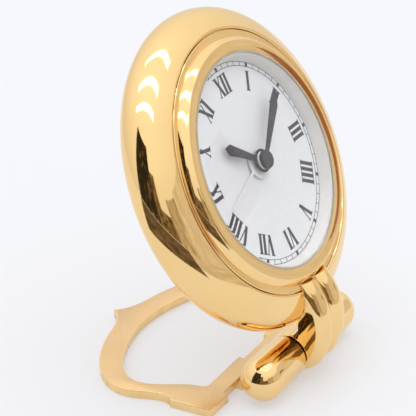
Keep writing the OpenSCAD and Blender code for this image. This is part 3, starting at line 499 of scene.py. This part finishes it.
def case_shell():
    """The rolled case, with its hollow behind the dial."""
    edge, meet_r = groove_edge()
    outer = edge + list(reversed(roll(FRONT_H, FRONT_EDGE_R, 1, meet_r)))[1:]
    outer += roll(REAR_H, REAR_EDGE_R, -1, COVER_R + 0.05)[1:]
    rear_in = COVER_R + COVER_GAP
    step_z = REAR_Z + COVER_STEP_H
    deep_z = REAR_Z + 2 * COVER_STEP_H
    wall = [(rear_in, REAR_Z + 0.03), (rear_in, step_z)]
    wall += [(rear_in - COVER_STEP_W, step_z), (rear_in - COVER_STEP_W, deep_z)]
    wall += [(HOLLOW_IN_R, deep_z), (HOLLOW_STEP_R, HOLLOW_REAR), (HOLLOW_R, -CASE_MID)]
    wall += [(HOLLOW_STEP_R, HOLLOW_FRONT), (COLLAR_R + COLLAR_GAP, HOLLOW_FRONT)]
    wall += [(COLLAR_R + COLLAR_GAP, SEAT_H), (GROOVE_R, SEAT_H)]
    stand_in("case_shell", lathe(outer + wall, CLOCK), "case_body", "case", "polished_gold", 35)


def bezel_ring():
    """The stepped bezel, with the collar that fits in the case and holds the crystal."""
    points = bezel_top()
    shelf = CRYSTAL_Z - 0.3
    points += [(BEZEL_R, SEAT_H), (COLLAR_R, SEAT_H), (COLLAR_R, COLLAR_FOOT)]
    points += [(COLLAR_IN_R, COLLAR_FOOT), (COLLAR_IN_R, shelf), (LIP_R, shelf)]
    stand_in("bezel_ring", lathe(points, CLOCK), "bezel", "case", "polished_gold", 25)


def crystal_disc():
    """The domed crystal, of even thickness, with a small bevel round its front."""
    top = CRYSTAL_Z + CRYSTAL_T
    points = [(0, CRYSTAL_Z + CRYSTAL_RISE)] + list(reversed(dome(0.05, 0)))
    points += [(CRYSTAL_R, CRYSTAL_Z + 0.05)] + arc(CRYSTAL_R - 0.1, top - 0.12, 0.1, 0, 80, 4)
    points += dome(CRYSTAL_BEVEL, CRYSTAL_T) + [(0, top + CRYSTAL_RISE)]
    mesh = lathe(points, CLOCK, closed=False)
    stand_in("crystal_disc", mesh, "crystal", "case", "crystal_glass")


def sloping_ring():
    """The pale ring that slopes from the dial up to the crystal."""
    low = CRYSTAL_Z - 0.35
    foot = 0.02
    points = [(RING_LOW_R, foot), (RING_HIGH_R, CRYSTAL_Z), (RING_FLANGE_R, CRYSTAL_Z)]
    points += [(RING_FLANGE_R, low), (RING_OUT_R, low), (RING_OUT_R, foot)]
    stand_in("sloping_ring", lathe(points, CLOCK), "rehaut_ring", "case", "pale_metal", 20)


def foot_plate():
    """The foot with a fine chamfer along its edges, and walls smoother than its faces."""
    bm = bmesh.new()
    bm.from_mesh(frame["nodes"]["foot_frame"].data)
    bmesh.ops.remove_doubles(bm, verts=bm.verts, dist=1e-6)
    bmesh.ops.dissolve_limit(bm, angle_limit=math.radians(1), verts=bm.verts, edges=bm.edges)
    inner = [edge for edge in bm.edges if len(edge.link_faces) == 2]
    sharp = [edge for edge in inner if edge.calc_face_angle() > math.radians(35)]
    bmesh.ops.bevel(
        bm, geom=sharp, offset=FOOT_CHAMFER * MM, segments=2, profile=0.5, affect="EDGES", clamp_overlap=True
    )
    bmesh.ops.recalc_face_normals(bm, faces=bm.faces)
    level = 0.95
    for face in bm.faces:
        face.material_index = 0 if abs(face.normal.z) > level else 1
    mesh = bpy.data.meshes.new("foot")
    bm.to_mesh(mesh)
    bm.free()
    piece = add_piece("foot_plate", mesh, "stand", materials["satin_gold"], sharp=30)
    mesh.materials.append(edge_gold())
    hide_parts("foot_frame")


def hand_tube():
    """The pale tube that shows between the hour hand and the minute hand."""
    points = [(TUBE_BORE_R, TUBE_LOW), (TUBE_R - TUBE_EDGE, TUBE_LOW), (TUBE_R, TUBE_LOW + TUBE_EDGE)]
    points += [(TUBE_R, TUBE_HIGH), (TUBE_BORE_R, TUBE_HIGH)]
    stand_in("hand_tube", lathe(points, CLOCK, 96), "hour_hand_bush", "hour", "pale_metal", 20)


def barrel_end(side):
    """Half of the hinge barrel: a tube that ends in a half sphere, seen from the hinge's middle."""
    inner = LUG_W / 2 + BARREL_GAP
    flat = BARREL_HALF - BARREL_R
    points = [(BARREL_BORE_R, flat), (BARREL_BORE_R, inner)]
    points += arc(BARREL_R - BARREL_EDGE_R, inner + BARREL_EDGE_R, BARREL_EDGE_R, -90, 0, 4)
    points += arc(0, flat, BARREL_R, 0, 90, 48)[:-1] + [(0, flat + BARREL_R), (0, flat)]
    place = STAND @ Matrix.Rotation(side * math.pi / 2, 4, "Y")
    name = "right_barrel" if side > 0 else "left_barrel"
    mesh = lathe(points, place, 96, closed=False)
    stand_in(name + "_shell", mesh, name, "stand", "polished_gold")


def lug_outline(x):
    """The lug's outline at a distance x from its middle, seen from the side in the hinge's frame."""
    edge = LUG_EDGE_R
    over = max(0.0, abs(x) - (LUG_W / 2 - edge))
    inset = edge - math.sqrt(max(0.0, edge ** 2 - over ** 2))
    depth = RIB_R - math.sqrt(RIB_R ** 2 - (abs(x) - LUG_W / 4) ** 2) + inset
    wall_r = BEZEL_R - FLANGE_W + JOINT_GAP / 2
    wall_u = HINGE_DROP - math.sqrt(wall_r ** 2 - x * x)
    long_r = LONG_R - depth
    along = wall_u - RIB_END_IN - LONG_C.x
    top_w = LONG_C.y + math.sqrt(long_r ** 2 - along ** 2)
    start = math.degrees(math.atan2(top_w - LONG_C.y, along))
    points = [(wall_u - step_in, top_w - down) for step_in, down in RIB_END]
    points += arc(*LONG_C, long_r, start, ARC_CHANGE, 60)
    short_r = SHORT_R - depth
    knuckle_r = BARREL_R - KNUCKLE_INSET - inset
    steps = 400
    for i in range(steps):
        end = ARC_CHANGE + 60 * i / steps
        reach = SHORT_C + short_r * Vector((math.cos(math.radians(end)), math.sin(math.radians(end))))
        if reach.length < knuckle_r:
            break
    points += arc(*SHORT_C, short_r, ARC_CHANGE, end, 50)[1:]
    meet = math.degrees(math.atan2(reach.y, reach.x)) % 360
    points += arc(0, 0, knuckle_r, meet, KNUCKLE_END, 64)[1:] + NECK
    meet_r = groove_edge()[1]
    seat = [p for p in roll(FRONT_H, FRONT_EDGE_R, 1, meet_r, -0.03) if p[0] < CASE_R - 0.4]
    seat += [(BEZEL_R + 0.2, FLANGE_H + 0.1), (wall_r, FLANGE_H + 0.1)]
    return points + [(HINGE_DROP - math.sqrt(r * r - x * x), z + HINGE_BACK) for r, z in seat]


def lug_arch():
    """The lug as outlines lofted from side to side, with the bore for the hinge pin."""
    half_w = LUG_W / 2
    rows = [half_w * math.sin(math.radians(90 * i / 40)) for i in range(-40, 41)]
    bm = bmesh.new()

    def ring(x, outline):
        """Points of an outline at the distance x from the lug's middle, in the clock frame."""
        return [bm.verts.new((x, u - HINGE_DROP, w - HINGE_BACK)) for u, w in outline]

    loops = [ring(x, lug_outline(x)) for x in rows]
    for one, two in zip(loops, loops[1:]):
        for i in range(len(one)):
            j = (i + 1) % len(one)
            bm.faces.new((one[i], two[i], two[j], one[j]))
    sides = 48
    bore = [ring(x, arc(0, 0, PIN_BORE_R, 0, 360, sides)[:-1]) for x in (-half_w, half_w)]
    for i in range(sides):
        j = (i + 1) % sides
        bm.faces.new((bore[0][i], bore[0][j], bore[1][j], bore[1][i]))
    for outer, inner in ((loops[0], bore[0]), (loops[-1], bore[1])):
        rims = []
        for loop in (outer, inner):
            rims += [bm.edges.get((loop[i], loop[(i + 1) % len(loop)])) for i in range(len(loop))]
        bmesh.ops.triangle_fill(bm, use_beauty=True, edges=rims)
    bmesh.ops.recalc_face_normals(bm, faces=bm.faces)
    mesh = bpy.data.meshes.new("lug")
    bm.to_mesh(mesh)
    bm.free()
    mesh.transform(CLOCK)
    stand_in("lug_arch", mesh, "lug", "case", "polished_gold", 30)


case_shell()
bezel_ring()
lug_arch()
crystal_disc()
sloping_ring()
hand_tube()
foot_plate()
barrel_end(1)
barrel_end(-1)

# Studio

FLOOR_SIZE = 6.0
floor_mesh = bpy.data.meshes.new("floor")
half = FLOOR_SIZE / 2
floor_corners = [(-half, -half, 0), (half, -half, 0), (half, half, 0), (-half, half, 0)]
floor_mesh.from_pydata(floor_corners, [], [(0, 1, 2, 3)])
floor = bpy.data.objects.new("floor", floor_mesh)
bpy.context.scene.collection.objects.link(floor)
floor_paint = Nodes("pale floor")
floor_tone = floor_paint.remap(floor_paint.noise(3, 2), 0.3, 0.7, 0, 1)
floor_colour = floor_paint.blend(floor_tone, (0.895, 0.90, 0.925), (0.915, 0.92, 0.94))
floor_paint.link(floor_colour, floor_paint.shader.inputs["Base Color"])
floor_paint.set(Roughness=0.7)


def seen_rays(tree):
    """1 for rays of the camera, of mirrors and of glass, otherwise 0."""
    rays = tree.nodes.new("ShaderNodeLightPath")
    seen = rays.outputs["Is Camera Ray"]
    for kind in ("Is Glossy Ray", "Is Transmission Ray"):
        either = tree.nodes.new("ShaderNodeMath")
        either.operation = "MAXIMUM"
        tree.links.new(seen, either.inputs[0])
        tree.links.new(rays.outputs[kind], either.inputs[1])
        seen = either.outputs[0]
    return seen


floor_glow = floor_paint.tree.nodes.new("ShaderNodeEmission")
floor_glow.inputs["Color"].default_value = (0.935, 0.945, 0.98, 1)
floor_mix = floor_paint.tree.nodes.new("ShaderNodeMixShader")
FLOOR_GLOW = 0.415
floor_share = floor_paint.math("MULTIPLY", seen_rays(floor_paint.tree), FLOOR_GLOW)
floor_paint.link(floor_share, floor_mix.inputs[0])
floor_paint.link(floor_paint.shader.outputs[0], floor_mix.inputs[1])
floor_paint.link(floor_glow.outputs[0], floor_mix.inputs[2])
floor_paint.link(floor_mix.outputs[0], floor_paint.output.inputs["Surface"])
floor_mesh.materials.append(floor_paint.material)

world = bpy.data.worlds.new("studio")
bpy.context.scene.world = world
world.use_nodes = True
sky = world.node_tree
sky_light = sky.nodes["Background"]
sky_light.inputs["Color"].default_value = (0.95, 0.965, 1, 1)
sky_light.inputs["Strength"].default_value = 0.86
sky_seen = sky.nodes.new("ShaderNodeBackground")
sky_height = sky.nodes.new("ShaderNodeSeparateXYZ")
sky.links.new(sky.nodes.new("ShaderNodeTexCoord").outputs["Generated"], sky_height.inputs[0])
sky_ramp = sky.nodes.new("ShaderNodeMapRange")
sky_ramp.inputs["To Min"].default_value = 0.82
sky_ramp.inputs["To Max"].default_value = 1.2
sky.links.new(sky_height.outputs["Z"], sky_ramp.inputs["Value"])
sky.links.new(sky_ramp.outputs[0], sky_seen.inputs["Strength"])
sky_seen.inputs["Color"].default_value = (0.985, 0.99, 1, 1)
sky_mix = sky.nodes.new("ShaderNodeMixShader")
sky.links.new(seen_rays(sky), sky_mix.inputs[0])
sky.links.new(sky_light.outputs[0], sky_mix.inputs[1])
sky.links.new(sky_seen.outputs[0], sky_mix.inputs[2])
sky.links.new(sky_mix.outputs[0], sky.nodes["World Output"].inputs["Surface"])


def ceiling_lamp(name, across, power):
    """A long soft lamp under the ceiling, seen from the dial at a slope to the right of straight up."""
    light = bpy.data.lights.new(name, "AREA")
    light.shape = "RECTANGLE"
    light.size, light.size_y = LAMP_SIZE
    light.energy = power
    obj = bpy.data.objects.new(name, light)
    bpy.context.scene.collection.objects.link(obj)
    obj.location = DIAL + Vector((across, 0.05, 1)) * LAMP_HEIGHT
    obj.rotation_euler = (0, 0, math.radians(LAMP_TURN))
    obj.visible_camera = False


LAMP_SIZE = (0.13, 1.75)
LAMP_HEIGHT = 1.4
LAMP_TURN = 18
LAMP_POWER = 1.9
for side, across in (("right", 0.37), ("middle", -0.01), ("left", -0.33)):
    ceiling_lamp(side + " ceiling lamp", across, LAMP_POWER)


def compass(azimuth, elevation):
    """A direction from its compass angle, 0 in front and 90 at the right, and its height."""
    a, e = math.radians(azimuth), math.radians(elevation)
    return Vector((math.sin(a) * math.cos(e), -math.cos(a) * math.cos(e), math.sin(e)))


def show_card(name, points, columns, colour, patch, spread, share=(0.42, 0.66)):
    """A sheet through rows of points, in blotches of a colour, that only metal and glass show."""
    quads = []
    for j in range(len(points) // columns - 1):
        for i in range(columns - 1):
            k = j * columns + i
            quads.append((k, k + 1, k + columns + 1, k + columns))
    mesh = bpy.data.meshes.new(name)
    mesh.from_pydata(points, [], quads)
    obj = bpy.data.objects.new(name, mesh)
    bpy.context.scene.collection.objects.link(obj)
    paint = Nodes(name)
    clutter = paint.remap(paint.noise(patch, 6, 0.7), share[0], share[1], 0, 1)
    dim = tuple(c * (1 - spread) for c in colour)
    lit = tuple(c * (1 + spread) for c in colour)
    paint.link(paint.blend(clutter, dim, lit), paint.shader.inputs["Base Color"])
    paint.set(Roughness=0.9)
    mesh.materials.append(paint.material)
    obj.visible_camera = False
    obj.visible_diffuse = False
    obj.visible_shadow = False


def card(name, low, high, distance, *paint):
    """A dim wall of the room between two pairs of compass angles."""
    steps = 12
    points = []
    for j in range(steps + 1):
        elevation = low[1] + (high[1] - low[1]) * j / steps
        for i in range(steps + 1):
            azimuth = low[0] + (high[0] - low[0]) * i / steps
            points.append(DIAL + compass(azimuth, elevation) * distance)
    show_card(name, points, steps + 1, *paint)


card("dark side of the room", (-121, -4), (-76, 49), 1.3, (0.35, 0.25, 0.12), 7, 0.95, (0.56, 0.72))
card("middle of the room", (-76, 12), (-62, 34), 1.33, (0.26, 0.18, 0.10), 11, 0.7)
card("camera side of the room", (-76, -4), (-38, 14), 1.35, (0.27, 0.18, 0.095), 11, 0.7)
card("far side of the room", (-38, -3), (-8, 24), 1.4, (0.62, 0.53, 0.41), 6, 0.3)
card("right side of the room", (-8, -3), (68, 26), 1.45, (0.86, 0.80, 0.72), 5, 0.12)
card("dark red cloth", (42, 4), (50, 10), 1.2, (0.46, 0.2, 0.12), 9, 0.3)


TABLE_LIFT = 0.0015


def table(name, start, end, reaches, *paint):
    """A dim sector of the table outside the view, just above the floor."""
    turns = range(start, end + 1, 4)
    points = []
    for reach in reaches:
        for azimuth in turns:
            way = compass(azimuth, 0) * reach
            points.append((DIAL.x + way.x, DIAL.y + way.y, TABLE_LIFT))
    show_card(name, points, len(turns), *paint)


table("near table", -122, -30, (0.13, 0.3, 0.6, 1.0), (0.15, 0.10, 0.055), 14, 0.8)
table("right table", -30, 66, (0.2, 0.4, 0.7, 1.2), (0.72, 0.66, 0.58), 8, 0.2)

# Camera at the photograph's viewing angle
CAMERA_FROM_HINGE = Vector((-398.5, -204.4, 256.0)) * MM
CAMERA_BACK = Vector((-0.7787, -0.4451, 0.4421))
CAMERA_RIGHT = Vector((0.4878, -0.8727, -0.0194))
LENS = 192.65
camera_data = bpy.data.cameras.new("camera")
camera_data.lens = LENS
camera_data.sensor_width = 36
camera_data.clip_start = 0.01
camera = bpy.data.objects.new("camera", camera_data)
bpy.context.scene.collection.objects.link(camera)
back = CAMERA_BACK.normalized()
right = (CAMERA_RIGHT - back * CAMERA_RIGHT.dot(back)).normalized()
camera.matrix_world = Matrix.Translation(HINGE + CAMERA_FROM_HINGE) @ Matrix(
    (right, back.cross(right), back)
).transposed().to_4x4()
bpy.context.scene.camera = camera
bpy.context.scene.view_settings.view_transform = "Standard"
